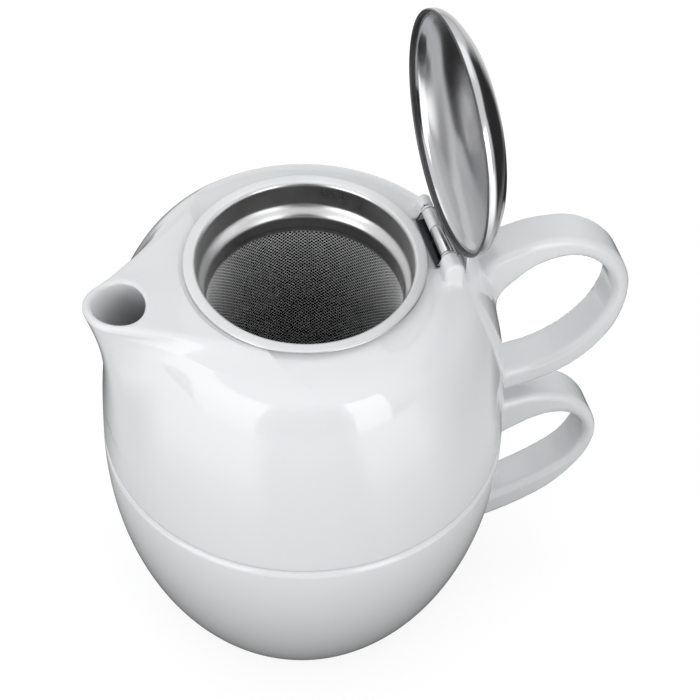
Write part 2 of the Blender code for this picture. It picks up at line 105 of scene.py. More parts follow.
# The table that the camera sees is this share of glow, the rest white paint.
GLOW_SHARE = 0.7
GLOW_STRENGTH = 1.12

# Panels beside the camera: name, degrees to its right, width in metres, watts.
PANELS = (("panel_left", -42.0, 0.9, 5.4), ("panel_right", 38.0, 0.5, 4.0))
PANEL_DISTANCE = 1.3
PANEL_MIDDLE_Z = 0.62
PANEL_HEIGHT = 1.15
TOP_PLACE = (AXIS_X + 0.1, 0.45, 1.25)
TOP_SIZE = (1.2, 0.8)
TOP_POWER = 1.4


def add_object(name, data):
    """An object of some data, in the scene."""
    added = bpy.data.objects.new(name, data)
    bpy.context.scene.collection.objects.link(added)
    return added


def make_camera():
    aim = Vector(CAMERA_AIM)
    azimuth = math.radians(CAMERA_AZIMUTH)
    elevation = math.radians(CAMERA_ELEVATION)
    roll = math.radians(CAMERA_ROLL)
    right = Vector((math.cos(azimuth), math.sin(azimuth), 0.0))
    back = Vector((math.sin(azimuth) * math.cos(elevation), -math.cos(azimuth) * math.cos(elevation),
                   math.sin(elevation)))
    up = back.cross(right)
    rolled_right = right * math.cos(roll) + up * math.sin(roll)
    rolled_up = up * math.cos(roll) - right * math.sin(roll)
    look_back = (back - rolled_right * AIM_SIDE - rolled_up * AIM_UP).normalized()
    side = rolled_up.cross(look_back).normalized()
    data = bpy.data.cameras.new("camera")
    data.lens = CAMERA_LENS
    data.sensor_width = 36.0
    data.clip_start = 0.05
    data.clip_end = 20.0
    camera = add_object("camera", data)
    axes = Matrix((side, look_back.cross(side), look_back)).transposed()
    camera.matrix_world = Matrix.Translation(aim + back * CAMERA_DISTANCE) @ axes.to_4x4()
    bpy.context.scene.camera = camera


def make_panel(name, place, target, width, height, power):
    """A soft light panel at a place, facing a target, in metres."""
    data = bpy.data.lights.new(name, "AREA")
    data.shape = "RECTANGLE"
    data.size = width
    data.size_y = height
    data.energy = power
    light = add_object(name, data)
    light.location = place
    light.rotation_euler = (Vector(target) - Vector(place)).to_track_quat("-Z", "Y").to_euler()


def make_lights():
    """Two tall panels beside the camera, with a gap between them, and one overhead."""
    low = Vector((AXIS_X, 0.0, 0.1))
    high = Vector((AXIS_X, 0.0, 0.2))
    for name, azimuth, width, power in PANELS:
        turn = math.radians(CAMERA_AZIMUTH + azimuth)
        place = low + Vector((math.sin(turn), -math.cos(turn), 0.0)) * PANEL_DISTANCE
        place.z = PANEL_MIDDLE_Z
        make_panel(name, place, high, width, PANEL_HEIGHT, power)
    make_panel("panel_top", TOP_PLACE, low, *TOP_SIZE, TOP_POWER)
    bpy.context.scene.view_settings.view_transform = "Standard"


# -------------------------------- shader nodes

def feed(links, value, socket):
    """Puts a number on a socket, or links another node's output to it."""
    if isinstance(value, float):
        socket.default_value = value
    else:
        links.new(value, socket)


def arithmetic(nodes, links, operation, first, second):
    node = nodes.new("ShaderNodeMath")
    node.operation = operation
    feed(links, first, node.inputs[0])
    feed(links, second, node.inputs[1])
    return node.outputs["Value"]


def scaled(nodes, links, value, edges, levels=(0.0, 1.0), kind="LINEAR"):
    """A level that changes from the first to the second while a value crosses between two edges."""
    step = nodes.new("ShaderNodeMapRange")
    step.interpolation_type = kind
    step.inputs["From Min"].default_value = edges[0]
    step.inputs["From Max"].default_value = edges[1]
    step.inputs["To Min"].default_value = levels[0]
    step.inputs["To Max"].default_value = levels[1]
    links.new(value, step.inputs["Value"])
    return step.outputs["Result"]


def soft_step(nodes, links, value, edges, levels=(0.0, 1.0)):
    return scaled(nodes, links, value, edges, levels, "SMOOTHSTEP")


def level_mix(nodes, links, amount, first, second):
    """One level turning into another as an amount goes from 0 to 1."""
    mix = nodes.new("ShaderNodeMix")
    mix.data_type = "FLOAT"
    links.new(amount, mix.inputs["Factor"])
    feed(links, first, mix.inputs["A"])
    feed(links, second, mix.inputs["B"])
    return mix.outputs["Result"]


def shader_mix(nodes, links, amount, first, second):
    mix = nodes.new("ShaderNodeMixShader")
    feed(links, amount, mix.inputs[0])
    links.new(first, mix.inputs[1])
    links.new(second, mix.inputs[2])
    return mix.outputs[0]


def grey_ramp(nodes, links, value, stops):
    """A ramp of slightly cool greys: stops are (position, level)."""
    ramp = nodes.new("ShaderNodeValToRGB")
    elements = ramp.color_ramp.elements
    while len(elements) < len(stops):
        elements.new(0.5)
    for element, (position, level) in zip(elements, stops):
        element.position = position
        element.color = (level, level * 1.005, level * 1.01, 1.0)
    links.new(value, ramp.inputs["Fac"])
    return ramp.outputs["Color"]


def angle_ramp(nodes, links, vector, stops, peak=1.0):
    """A level that depends on how far a direction is turned from the front of the studio."""
    azimuth = math.radians(CAMERA_AZIMUTH)
    right = (math.cos(azimuth), math.sin(azimuth), 0.0)
    front = (math.sin(azimuth), -math.cos(azimuth), 0.0)
    parts = []
    for way in (right, front):
        part = nodes.new("ShaderNodeVectorMath")
        part.operation = "DOT_PRODUCT"
        part.inputs[1].default_value = way
        links.new(vector, part.inputs[0])
        parts.append(part.outputs["Value"])
    turn = arithmetic(nodes, links, "ARCTAN2", *parts)
    share = scaled(nodes, links, turn, (-math.pi, math.pi))
    shares = [((degrees + 180.0) / 360.0, level / peak) for degrees, level in stops]
    return arithmetic(nodes, links, "MULTIPLY", grey_ramp(nodes, links, share, shares), peak)


def distance_from(nodes, links, place, point):
    """How far a place is from a point of the table, given as (x, y)."""
    apart = nodes.new("ShaderNodeVectorMath")
    apart.operation = "DISTANCE"
    apart.inputs[1].default_value = (*point, 0.0)
    links.new(place, apart.inputs[0])
    return apart.outputs["Value"]


# -------------------------------- room and table

def make_world():
    """A white room for soft light, seen darker in reflections, as a studio with black flags is."""
    world = bpy.data.worlds.new("studio")
    bpy.context.scene.world = world
    world.use_nodes = True
    nodes = world.node_tree.nodes
    links = world.node_tree.links
    nodes.clear()
    place = nodes.new("ShaderNodeTexCoord").outputs["Generated"]
    split = nodes.new("ShaderNodeSeparateXYZ")
    links.new(place, split.inputs["Vector"])
    height = scaled(nodes, links, split.outputs["Z"], (-1.0, 1.0))
    skies = []
    for stops in (ROOM_LIGHT, ROOM_REFLECTED):
        sky = nodes.new("ShaderNodeBackground")
        links.new(grey_ramp(nodes, links, height, stops), sky.inputs["Color"])
        skies.append(sky)
    gap = angle_ramp(nodes, links, place, ROOM_GAP)
    above = soft_step(nodes, links, split.outputs["Z"], GAP_TOP)
    links.new(level_mix(nodes, links, above, gap, 1.0), skies[1].inputs["Strength"])
    white = nodes.new("ShaderNodeBackground")
    white.inputs["Color"].default_value = (1.0, 1.0, 1.0, 1.0)
    rays = nodes.new("ShaderNodeLightPath")
    lit = shader_mix(nodes, links, rays.outputs["Is Glossy Ray"], skies[0].outputs[0], skies[1].outputs[0])
    seen = shader_mix(nodes, links, rays.outputs["Is Camera Ray"], lit, white.outputs[0])
    links.new(seen, nodes.new("ShaderNodeOutputWorld").inputs["Surface"])


def table_shade(nodes, links, place, radius):
    """The table as reflections see it: bright by the panels, dark near the pot and by the handles."""
    near = soft_step(nodes, links, radius, *TABLE_NEAR)
    far = angle_ramp(nodes, links, place, TABLE_FAR, TABLE_PEAK)
    level = level_mix(nodes, links, soft_step(nodes, links, radius, TABLE_REACH), near, far)
    for middle, edges in TABLE_SHADOWS:
        apart = distance_from(nodes, links, place, middle)
        shadow = soft_step(nodes, links, apart, edges, SHADOW_LEVELS)
        level = arithmetic(nodes, links, "MULTIPLY", level, shadow)
    return level


def make_table():
    """A white table; what it throws back at the object is dimmer than what the camera sees."""
    mesh = bpy.data.meshes.new("floor")
    edge = TABLE_HALF
    mesh.from_pydata([(-edge, -edge, 0.0), (edge, -edge, 0.0), (edge, edge, 0.0), (-edge, edge, 0.0)],
                     [], [(0, 1, 2, 3)])
    floor = add_object("floor", mesh)
    material = bpy.data.materials.new("floor")
    material.use_nodes = True
    nodes = material.node_tree.nodes
    links = material.node_tree.links
    nodes.clear()
    place = nodes.new("ShaderNodeNewGeometry").outputs["Position"]
    radius = distance_from(nodes, links, place, (AXIS_X, 0.0))
    bounce = nodes.new("ShaderNodeBsdfDiffuse")
    links.new(soft_step(nodes, links, radius, *TABLE_BOUNCE), bounce.inputs["Color"])
    paint = nodes.new("ShaderNodeBsdfDiffuse")
    paint.inputs["Color"].default_value = (1.0, 1.0, 1.0, 1.0)
    glow = nodes.new("ShaderNodeEmission")
    glow.inputs["Strength"].default_value = GLOW_STRENGTH
    mirrored = nodes.new("ShaderNodeEmission")
    links.new(table_shade(nodes, links, place, radius), mirrored.inputs["Strength"])
    pale = shader_mix(nodes, links, GLOW_SHARE, paint.outputs[0], glow.outputs[0])
    rays = nodes.new("ShaderNodeLightPath")
    thrown = shader_mix(nodes, links, rays.outputs["Is Glossy Ray"], bounce.outputs[0], mirrored.outputs[0])
    seen = shader_mix(nodes, links, rays.outputs["Is Camera Ray"], thrown, pale)
    links.new(seen, nodes.new("ShaderNodeOutputMaterial").inputs["Surface"])
    mesh.materials.append(material)


# -------------------------------- distance fields, in millimetres

def egg(r, h, radius, height, power):
    """Roughly the distance to an egg-shaped wall: radius at h = 0, closing at h = height."""
    u = np.abs(r) / radius
    v = np.abs(h) / height
    total = np.maximum(u ** power + v ** power, 1e-6)
    slope = total ** (1.0 / power - 1.0) * np.hypot(u ** (power - 1.0) / radius, v ** (power - 1.0) / height)
    return (total ** (1.0 / power) - 1.0) / np.maximum(slope, 1e-4)


def both(a, b, edge):
    """What is inside both fields, with the edge between them rounded."""
    outside = np.hypot(np.maximum(a + edge, 0.0), np.maximum(b + edge, 0.0))
    return np.minimum(-edge, np.maximum(a, b)) + outside


def joined(a, b, fillet):
    """What is inside either field, with a smooth fillet between them."""
    near = np.maximum(fillet - np.abs(a - b), 0.0) / fillet
    return np.minimum(a, b) - near ** 3 * fillet / 6.0


def smooth_loop(points, per_span=8):
    """A closed smooth curve through the points."""
    p = np.array(points, float)
    before, after, later = np.roll(p, 1, 0), np.roll(p, -1, 0), np.roll(p, -2, 0)
    square = 2.0 * before - 5.0 * p + 4.0 * after - later
    cube = 3.0 * p - before - 3.0 * after + later
    spans = [0.5 * (2.0 * p + (after - before) * t + square * t ** 2 + cube * t ** 3)
             for t in np.arange(per_span) / per_span]
    return np.stack(spans, 1).reshape(-1, 2)


class Outline:
    """Distance to a flat closed outline, kept on a fine grid."""

    def __init__(self, loop, margin=14.0, step=0.3):
        self.step = step
        self.low = loop.min(0) - margin
        count = np.ceil((loop.max(0) + margin - self.low) / step).astype(int) + 1
        us = self.low[0] + step * np.arange(count[0])
        vs = self.low[1] + step * np.arange(count[1])
        u, v = np.meshgrid(us, vs, indexing="ij")
        nearest = np.full(u.shape, 1e9)
        crossed = np.zeros(u.shape, bool)
        for (a, b), (c, d) in zip(loop, np.roll(loop, -1, 0)):
            du, dv = c - a, d - b
            t = np.clip(((u - a) * du + (v - b) * dv) / (du * du + dv * dv), 0.0, 1.0)
            nearest = np.minimum(nearest, (u - a - t * du) ** 2 + (v - b - t * dv) ** 2)
            if dv != 0.0:
                crossed ^= ((b > v) != (d > v)) & (u < a + (v - b) * du / dv)
        self.table = np.where(crossed, -1.0, 1.0) * np.sqrt(nearest)

    def __call__(self, u, v):
        shape = self.table.shape
        i = np.clip((u - self.low[0]) / self.step, 0.0, shape[0] - 1.001)
        j = np.clip((v - self.low[1]) / self.step, 0.0, shape[1] - 1.001)
        i, j = np.broadcast_arrays(i, j)
        i0, j0 = i.astype(int), j.astype(int)
        s, t = i - i0, j - j0
        low = self.table[i0, j0] * (1.0 - t) + self.table[i0, j0 + 1] * t
        high = self.table[i0 + 1, j0] * (1.0 - t) + self.table[i0 + 1, j0 + 1] * t
        return low * (1.0 - s) + high * s


def strap(outline, x, y, z, half_width, edge):
    """A flat outline in the XZ plane made into a strap with rounded edges."""
    return both(outline(x, z), np.abs(y) - half_width, edge)


# -------------------------------- meshing a field

CORNERS = [(i, j, k) for i in (0, 1) for j in (0, 1) for k in (0, 1)]
CELL_EDGES = [(a, b) for a in range(8) for b in range(a + 1, 8)
              if sum(abs(p - q) for p, q in zip(CORNERS[a], CORNERS[b])) == 1]


def graded(stops):
    """Grid lines from (start, spacing) stops; the last stop is where they end."""
    lines = []
    for (start, spacing), (end, _) in zip(stops, stops[1:]):
        count = max(int(round((end - start) / spacing)), 1)
        lines += [start + (end - start) * i / count for i in range(count)]
    return np.array(lines + [stops[-1][0]])


def slope_of(field, points, reach):
    columns = []
    for axis in range(3):
        shift = np.zeros(3)
        shift[axis] = reach
        ahead = field(*(points + shift).T)
        behind = field(*(points - shift).T)
        columns.append((ahead - behind) / (2.0 * reach))
    return np.stack(columns, 1)


def surface_net(field, radii, turns, heights):
    """Vertices and faces where the field changes sign, on a grid of radius, angle and height."""
    steps = len(turns)
    round_turns = np.append(turns, turns[0] + math.tau)
    xs = radii[:, None] * np.cos(round_turns)[None, :]
    ys = radii[:, None] * np.sin(round_turns)[None, :]
    values = field(xs[:, :, None], ys[:, :, None], heights[None, None, :]).astype(np.float32)
    inside = values < 0.0
    cells = [n - 1 for n in values.shape]
    total = np.zeros(cells, np.int8)
    for i, j, k in CORNERS:
        total += inside[i:i + cells[0], j:j + cells[1], k:k + cells[2]]
    ci, cj, ck = np.nonzero((total > 0) & (total < 8))
    index = np.full(cells, -1, np.int64)
    index[ci, cj, ck] = np.arange(len(ci))
    at = [np.stack([xs[ci + i, cj + j], ys[ci + i, cj + j], heights[ck + k]], 1) for i, j, k in CORNERS]
    value = [values[ci + i, cj + j, ck + k].astype(float) for i, j, k in CORNERS]
    place = np.zeros((len(ci), 3))
    hits = np.zeros(len(ci))
    for a, b in CELL_EDGES:
        crossing = (value[a] < 0.0) != (value[b] < 0.0)
        part = np.where(crossing, value[a] / np.where(crossing, value[a] - value[b], 1.0), 0.0)
        place += np.where(crossing[:, None], at[a] + (at[b] - at[a]) * part[:, None], 0.0)
        hits += crossing
    place /= hits[:, None]
    quads = []
    for axis in range(3):
        first = [slice(None)] * 3
        second = [slice(None)] * 3
        first[axis] = slice(0, -1)
        second[axis] = slice(1, None)
        grid = np.nonzero(inside[tuple(first)] != inside[tuple(second)])
        keep = grid[1] < steps
        for a in (0, 2):
            if a != axis:
                keep &= (grid[a] > 0) & (grid[a] < cells[a])
        grid = [g[keep] for g in grid]
        other = [a for a in range(3) if a != axis]
        around = []
        for p, q in ((1, 1), (0, 1), (0, 0), (1, 0)):
            spot = list(grid)
            spot[other[0]] = grid[other[0]] - p
            spot[other[1]] = grid[other[1]] - q
            spot[1] = spot[1] % steps
            around.append(index[tuple(spot)])
        faces = np.stack(around, 1)
        outward = inside[tuple(grid)]
        if axis == 1:
            outward = ~outward
        faces[~outward] = faces[~outward][:, ::-1]
        quads.append(faces)
    return place, np.concatenate(quads), axis_fans(place, values, inside, index, heights)


def axis_fans(place, values, inside, index, heights):
    """Triangles that close the surface where it crosses the axis, and their middle points."""
    middles = []
    fans = []
    for k in np.nonzero(inside[0, 0, :-1] != inside[0, 0, 1:])[0]:
        low, high = float(values[0, 0, k]), float(values[0, 0, k + 1])
        part = low / (low - high)
        middle = len(place) + len(middles)
        middles.append((0.0, 0.0, heights[k] + (heights[k + 1] - heights[k]) * part))
        circle = index[0, :, k]
        after = np.roll(circle, -1)
        pair = (circle, after) if low < 0.0 else (after, circle)
        fans += [(int(a), int(b), middle) for a, b in zip(*pair)]
    return middles, fans


def settle(field, place, quads, rounds=4):
    """Moves vertices onto the surface and evens them out along it."""
    starts = np.tile(quads.T.ravel(), 2)
    ends = np.concatenate([np.roll(quads, -1, 1).T.ravel(), np.roll(quads, 1, 1).T.ravel()])
    count = np.bincount(starts, minlength=len(place)).astype(float)
    for turn in range(rounds):
        slope = slope_of(field, place, 0.08)
        length = np.maximum(np.linalg.norm(slope, axis=1), 0.3)
        step = np.clip(field(*place.T) / length, -0.7, 0.7)
        normal = slope / length[:, None]
        place = place - normal * step[:, None]
        if turn < rounds - 2:
            middle = np.stack([np.bincount(starts, place[ends, a], len(place)) for a in range(3)], 1)
            pull = middle / count[:, None] - place
            pull -= normal * (pull * normal).sum(1)[:, None]
            place = place + 0.5 * pull
    return place


def field_piece(name, field, grids, material):
    """A mesh object of a field, with the field's own normals."""
    place, quads, (middles, fans) = surface_net(field, *grids)
    place = settle(field, place, quads)
    place = np.concatenate([place, np.array(middles).reshape(-1, 3)])
    normal = slope_of(field, place, 0.12)
    normal /= np.maximum(np.linalg.norm(normal, axis=1), 1e-6)[:, None]
    mesh = bpy.data.meshes.new(name)
    world = place * MM + np.array([AXIS_X, 0.0, 0.0])
    mesh.from_pydata(world.tolist(), [], quads.tolist() + fans)
    mesh.update()
    mesh.shade_smooth()
    mesh.normals_split_custom_set_from_vertices(normal.tolist())
    mesh.materials.append(material)
    return add_object(name, mesh), place


def mark(piece, name, amounts):
    """Keeps a number from 0 to 1 at each vertex, for the material to read."""
    layer = piece.data.attributes.new(name, "FLOAT", "POINT")
    layer.data.foreach_set("value", np.clip(amounts, 0.0, 1.0).astype(np.float32))


# -------------------------------- porcelain

# The handles' outlines in the middle plane, as (x, z) points.
POT_HANDLE = Outline(smooth_loop([
    (54.0, 134.5), (63.5, 138.8), (73.5, 139.7), (84.0, 137.4), (93.0, 130.2), (98.4, 120.5),
    (99.6, 110.5), (97.0, 99.0), (91.0, 89.6), (82.0, 82.6), (71.0, 79.0), (57.0, 78.1), (56.0, 85.5),
    (64.3, 86.4), (73.0, 87.6), (82.5, 91.8), (90.0, 99.2), (94.2, 108.0), (94.4, 115.5), (90.6, 124.0),
    (84.5, 129.8), (76.7, 131.9), (68.5, 129.9), (61.0, 124.0), (55.0, 118.5)]))
CUP_HANDLE = Outline(smooth_loop([
    (52.0, 70.5), (63.0, 71.8), (73.5, 72.0), (83.0, 68.6), (90.0, 61.4), (93.7, 51.0), (92.0, 41.2),
    (86.6, 33.2), (79.0, 26.6), (69.4, 22.2), (58.0, 19.0), (43.0, 16.5), (45.0, 26.0), (57.0, 28.0),
    (67.2, 30.8), (77.0, 34.6), (84.6, 39.2), (89.2, 46.4), (89.0, 53.4), (85.0, 59.2), (79.0, 61.9),
    (72.0, 61.4), (64.0, 58.4), (54.0, 54.0)]))
HANDLE_HALF = 6.5
HANDLE_EDGE = 2.2
HANDLE_FILLET = 5.0

# Radius, height and power of each egg shape.
POT_EGG = (BODY_R, 78.3, 3.0)
POT_HOLLOW_EGG = (55.5, 68.0, 3.0)
LOW_HOLLOW_EGG = (51.0, 25.0, 2.6)
NEST_EGG = (54.6, 27.0, 2.8)
CUP_EGG = (BODY_R, 90.5, 2.0)
CUP_HOLLOW_EGG = (BODY_R - 4.3, 69.0, 2.0)

POT_TOP_Z = 146.6
POT_BASE_Z = 53.5
SHOULDER_ROUND = 12.5
SEAT_R = 35.9
SEAT_Z = 145.4
MOUTH_R = 33.2
NEST_TOP_Z = 79.5

SPOUT_TOP_Z = 145.3
SPOUT_X = -56.0
BEAK_NOSE_R = 10.2
BEAK_LOW_Z = 104.0
# Half the wedge's angle in degrees, and what the far side adds.
BEAK_SPREAD = 27.0
BEAK_FAR_SPREAD = 5.5
CHANNEL_R = 7.8
CHANNEL_HALF = 8.3
CHANNEL_SCALE = 7.2
CHANNEL_LOW_Z = 112.0
# What each millimetre down adds to the way in, or takes from the width.
BEAK_LEAN = 0.247
BEAK_TAPER = 0.06
CHANNEL_LEAN = 0.444
CHANNEL_TAPER = (0.01, 0.03)
# Fillet between spout and body: near side, what the far side adds, and lower down.
SPOUT_FILLET = 5.0
FAR_FILLET = 8.0
LOW_FILLET = 16.0

EAR_LOW_Z = 138.0
# Middle, half thickness, radius and fillet of the far ear and of the near one.
FAR_EAR = (12.65, 2.45, 2.0, 6.0)
NEAR_EAR = (-13.3, 3.1, 2.85, 3.5)
POCKET_X = 38.7
POCKET_HALF = (4.7, 10.2)
POCKET_BASE_Z = 143.1
BORE_R = 1.3
BORE_ENDS = (-13.6, 10.9)

CUP_RIM_ROUND = 1.9
LIP_ROUND = 1.8
FOOT_INNER_R = 27.0
FOOT_RISE = 2.0

# The glaze is marked for the inside's painted shade where the hollow's own distance is below this.
SKIN = 0.6


def far_side(y, reach):
    """0 on the near side of the middle plane, growing to 1 at a reach on the far side."""
    return np.clip(y / reach, 0.0, 1.0)


def beak(x, y, z):
    """The spout: a round-nosed wedge with a level top, narrowing down into the body."""
    down = SPOUT_TOP_Z - z
    nose_r = BEAK_NOSE_R - BEAK_TAPER * down
    far = far_side(y, 10.0)
    spread = np.radians(BEAK_SPREAD + BEAK_FAR_SPREAD * far)
    px = x - (SPOUT_X + BEAK_LEAN * down)
    py = np.abs(y)
    along = px * np.cos(spread) + py * np.sin(spread)
    flat = py * np.cos(spread) - px * np.sin(spread) - nose_r
    nose = np.hypot(px, py) - nose_r
    side = np.where(along > 0.0, flat, nose) * 0.96
    solid = both(side, z - SPOUT_TOP_Z, 2.2)
    return np.maximum(solid, np.maximum(x + 20.0 + 6.0 * far, BEAK_LOW_Z - z))


def channel(x, y, z):
    """The way out through the spout: egg-shaped at the mouth, round where it meets the inside."""
    down = SPOUT_TOP_Z - z
    px = (x - SPOUT_X - CHANNEL_LEAN * down) / (CHANNEL_R - CHANNEL_TAPER[0] * down)
    py = y / ((CHANNEL_HALF - CHANNEL_TAPER[1] * down) * (1.0 + 0.12 * np.clip(px, -1.0, 1.0)))
    hole = (np.hypot(px, py) - 1.0) * CHANNEL_SCALE
    return np.maximum(hole, CHANNEL_LOW_Z - z)


def pot_hollow(r, z):
    """The room for tea: a wide upper part, a lower part that nests in the cup, and the mouth."""
    upper = both(egg(r, z - SEAM_Z, *POT_HOLLOW_EGG), 82.0 - z, 3.0)
    lower = egg(r, z - 84.0, *LOW_HOLLOW_EGG)
    mouth = np.maximum(r - MOUTH_R, 130.0 - z)
    return joined(joined(upper, lower, 5.0), mouth, 1.5)


def ears(x, y, z):
    """The two posts that hold the ends of the hinge pin."""
    far = y > 0.0
    middle, half, radius, _ = [np.where(far, a, b) for a, b in zip(FAR_EAR, NEAR_EAR)]
    across = np.hypot(x - PIN_X, np.maximum(z, PIN_Z - 20.0) - PIN_Z) - radius
    below = np.maximum(np.abs(x - PIN_X) - radius, z - PIN_Z)
    posts = both(np.minimum(across, below), np.abs(y - middle) - half, 0.9)
    return np.maximum(posts, EAR_LOW_Z - z)


def pot_field(x, y, z):
    r = np.hypot(x, y)
    shell = both(egg(r, z - SEAM_Z, *POT_EGG), z - POT_TOP_Z, SHOULDER_ROUND)
    far = far_side(y, 12.0)
    fillet = SPOUT_FILLET + FAR_FILLET * far
    fillet = fillet + (LOW_FILLET - fillet) * np.clip((145.5 - z) / 4.5, 0.0, 1.0)
    shell = joined(shell, beak(x, y, z), fillet)
    shell = both(shell, z - POT_TOP_Z, 1.5 + 4.0 * far * np.clip((20.0 - x) / 20.0, 0.0, 1.0))
    shell = joined(shell, strap(POT_HANDLE, x, y, z, HANDLE_HALF, HANDLE_EDGE), HANDLE_FILLET)
    shell = joined(shell, ears(x, y, z), np.where(y > 0.0, FAR_EAR[-1], NEAR_EAR[-1]))
    shell = both(shell, SEAM_Z + 0.1 - z, 2.0)
    nest = both(egg(r, z - 80.0, *NEST_EGG), z - NEST_TOP_Z, 0.5)
    solid = both(np.minimum(shell, nest), POT_BASE_Z - z, 1.0)
    solid = both(solid, -np.maximum(r - SEAT_R, SEAT_Z - z), 0.7)
    solid = both(solid, -pot_hollow(r, z), 1.0)
    solid = both(solid, -channel(x, y, z), 1.3)
    pocket = both(np.abs(x - POCKET_X) - POCKET_HALF[0], np.abs(y) - POCKET_HALF[1], 2.6)
    solid = both(solid, -np.maximum(pocket, POCKET_BASE_Z - z), 0.6)
    ends = np.where(y > 0.0, y - BORE_ENDS[1], BORE_ENDS[0] - y)
    bore = np.maximum(np.hypot(x - PIN_X, z - PIN_Z) - BORE_R, ends)
    return np.maximum(solid, -bore)


def cup_field(x, y, z):
    r = np.hypot(x, y)
    shell = egg(r, z - SEAM_Z, *CUP_EGG)
    shell = joined(shell, strap(CUP_HANDLE, x, y, z, HANDLE_HALF, HANDLE_EDGE), HANDLE_FILLET)
    shell = both(shell, z - RIM_Z, CUP_RIM_ROUND)
    shell = both(shell, -z, 1.2)
    inner_r = CUP_HOLLOW_EGG[0]
    lip_z = RIM_Z - LIP_ROUND
    hollow = np.minimum(egg(r, z - lip_z, *CUP_HOLLOW_EGG), np.maximum(r - inner_r, lip_z - z))
    shell = both(shell, -hollow, LIP_ROUND)
    recess = np.maximum(r - FOOT_INNER_R, z - FOOT_RISE)
    return both(shell, -recess, 0.9)


def make_porcelain_pieces(material):
    # Close lines where the handles, the spout and the edges are, wide ones on the plain walls.
    turns = np.radians(graded([(-25.0, 0.8), (25.0, 1.8), (147.0, 0.9), (213.0, 1.8), (335.0, 1.0)]))[:-1]
    pot_r = graded([(0.0, 3.0), (30.0, 0.5), (38.0, 0.8), (62.0, 1.15), (101.5, 1.0)])
    pot_z = graded([(52.0, 0.8), (56.0, 1.6), (74.0, 0.5), (80.0, 1.4), (136.0, 0.55), (151.0, 1.0)])
    pot, place = field_piece("teapot_porcelain", pot_field, (pot_r, turns, pot_z), material)
    x, y, z = place.T
    # Painted shade inside the pot: none above the mouth's depth, growing over 9 mm to full further down; the
    # spout's channel gets 0.35 of it.
    inside_shade_depth = np.clip((143.5 - z) / 9.0, 0.0, 1.0)
    spout = 0.35 * (np.abs(channel(x, y, z)) < SKIN)
    mark(pot, "inside", np.maximum(np.abs(pot_hollow(np.hypot(x, y), z)) < SKIN, spout) * inside_shade_depth)
    mark(pot, "bare", (POT_BASE_Z + 0.8 - z) / 0.4)
    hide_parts("teapot_body")
    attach(pot, "teapot")
    cup_r = graded([(0.0, 3.0), (24.0, 0.7), (33.0, 1.5), (53.0, 0.6), (62.0, 1.15), (95.5, 1.0)])
    cup_z = graded([(-1.0, 0.5), (4.0, 1.4), (72.5, 0.45), (79.0, 1.0)])
    cup, place = field_piece("cup_porcelain", cup_field, (cup_r, turns, cup_z), material)
    mark(cup, "inside", np.zeros(len(place)))
    mark(cup, "bare", (0.7 - place[:, 2]) / 0.4)
    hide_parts("cup_body")
    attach(cup, "cup")


# -------------------------------- materials

def node_material(name):
    material = bpy.data.materials.new(name)
    material.use_nodes = True
    nodes = material.node_tree.nodes
    return material, nodes, material.node_tree.links, nodes["Principled BSDF"]


def noise(nodes, links, scale, detail, vector):
    texture = nodes.new("ShaderNodeTexNoise")
    texture.inputs["Scale"].default_value = scale
    texture.inputs["Detail"].default_value = detail
    links.new(vector, texture.inputs["Vector"])
    return texture.outputs["Fac"]


def blended(nodes, links, amount, first, second):
    """One colour turning into another as an amount goes from 0 to 1."""
    mix = nodes.new("ShaderNodeMix")
    mix.data_type = "RGBA"
    links.new(amount, mix.inputs[0])
    for socket, colour in ((mix.inputs[6], first), (mix.inputs[7], second)):
        if isinstance(colour, tuple):
            socket.default_value = (*colour, 1.0)
        else:
            links.new(colour, socket)
    return mix.outputs[2]


def attribute(nodes, name):
    found = nodes.new("ShaderNodeAttribute")
    found.attribute_name = name
    return found.outputs["Fac"]


def bumped(nodes, links, shader, height, strength, distance):
    bump = nodes.new("ShaderNodeBump")
    bump.inputs["Strength"].default_value = strength
    bump.inputs["Distance"].default_value = distance
    links.new(height, bump.inputs["Height"])
    links.new(bump.outputs["Normal"], shader.inputs["Normal"])


def make_porcelain():
    """White glazed porcelain, with slow waves in the glaze, bare feet and painted shade that turns the inside
    of the pot dark grey.
    """
    material, nodes, links, shader = node_material("porcelain")
    place = nodes.new("ShaderNodeTexCoord").outputs["Object"]
    cloud = noise(nodes, links, 22.0, 2.0, place)
    white = blended(nodes, links, cloud, (0.835, 0.852, 0.865), (0.865, 0.878, 0.888))
    # Painted shade: where the inside mark is set, the white turns dark grey (0.14), fully deep in the pot and
    # partly down the spout's channel.
    glaze_with_painted_inside_shade = blended(nodes, links, attribute(nodes, "inside"), white, (0.14, 0.14, 0.14))
    bare = attribute(nodes, "bare")
    links.new(blended(nodes, links, bare, glaze_with_painted_inside_shade, (0.72, 0.7, 0.66)), shader.inputs["Base Color"])
    links.new(scaled(nodes, links, bare, (0.0, 1.0), (0.06, 0.75)), shader.inputs["Roughness"])
    shader.inputs["IOR"].default_value = 1.52
    shader.inputs["Coat Weight"].default_value = 0.3
    shader.inputs["Coat Roughness"].default_value = 0.04
    shader.inputs["Subsurface Weight"].default_value = 0.08
    shader.inputs["Subsurface Radius"].default_value = (0.004, 0.0035, 0.003)
    shader.inputs["Subsurface Scale"].default_value = 0.5
    wave = noise(nodes, links, 38.0, 1.0, place)
    grit = arithmetic(nodes, links, "MULTIPLY", noise(nodes, links, 1400.0, 2.0, place), bare)
    bumped(nodes, links, shader, arithmetic(nodes, links, "ADD", wave, grit), 0.05, 0.0008)
    return material


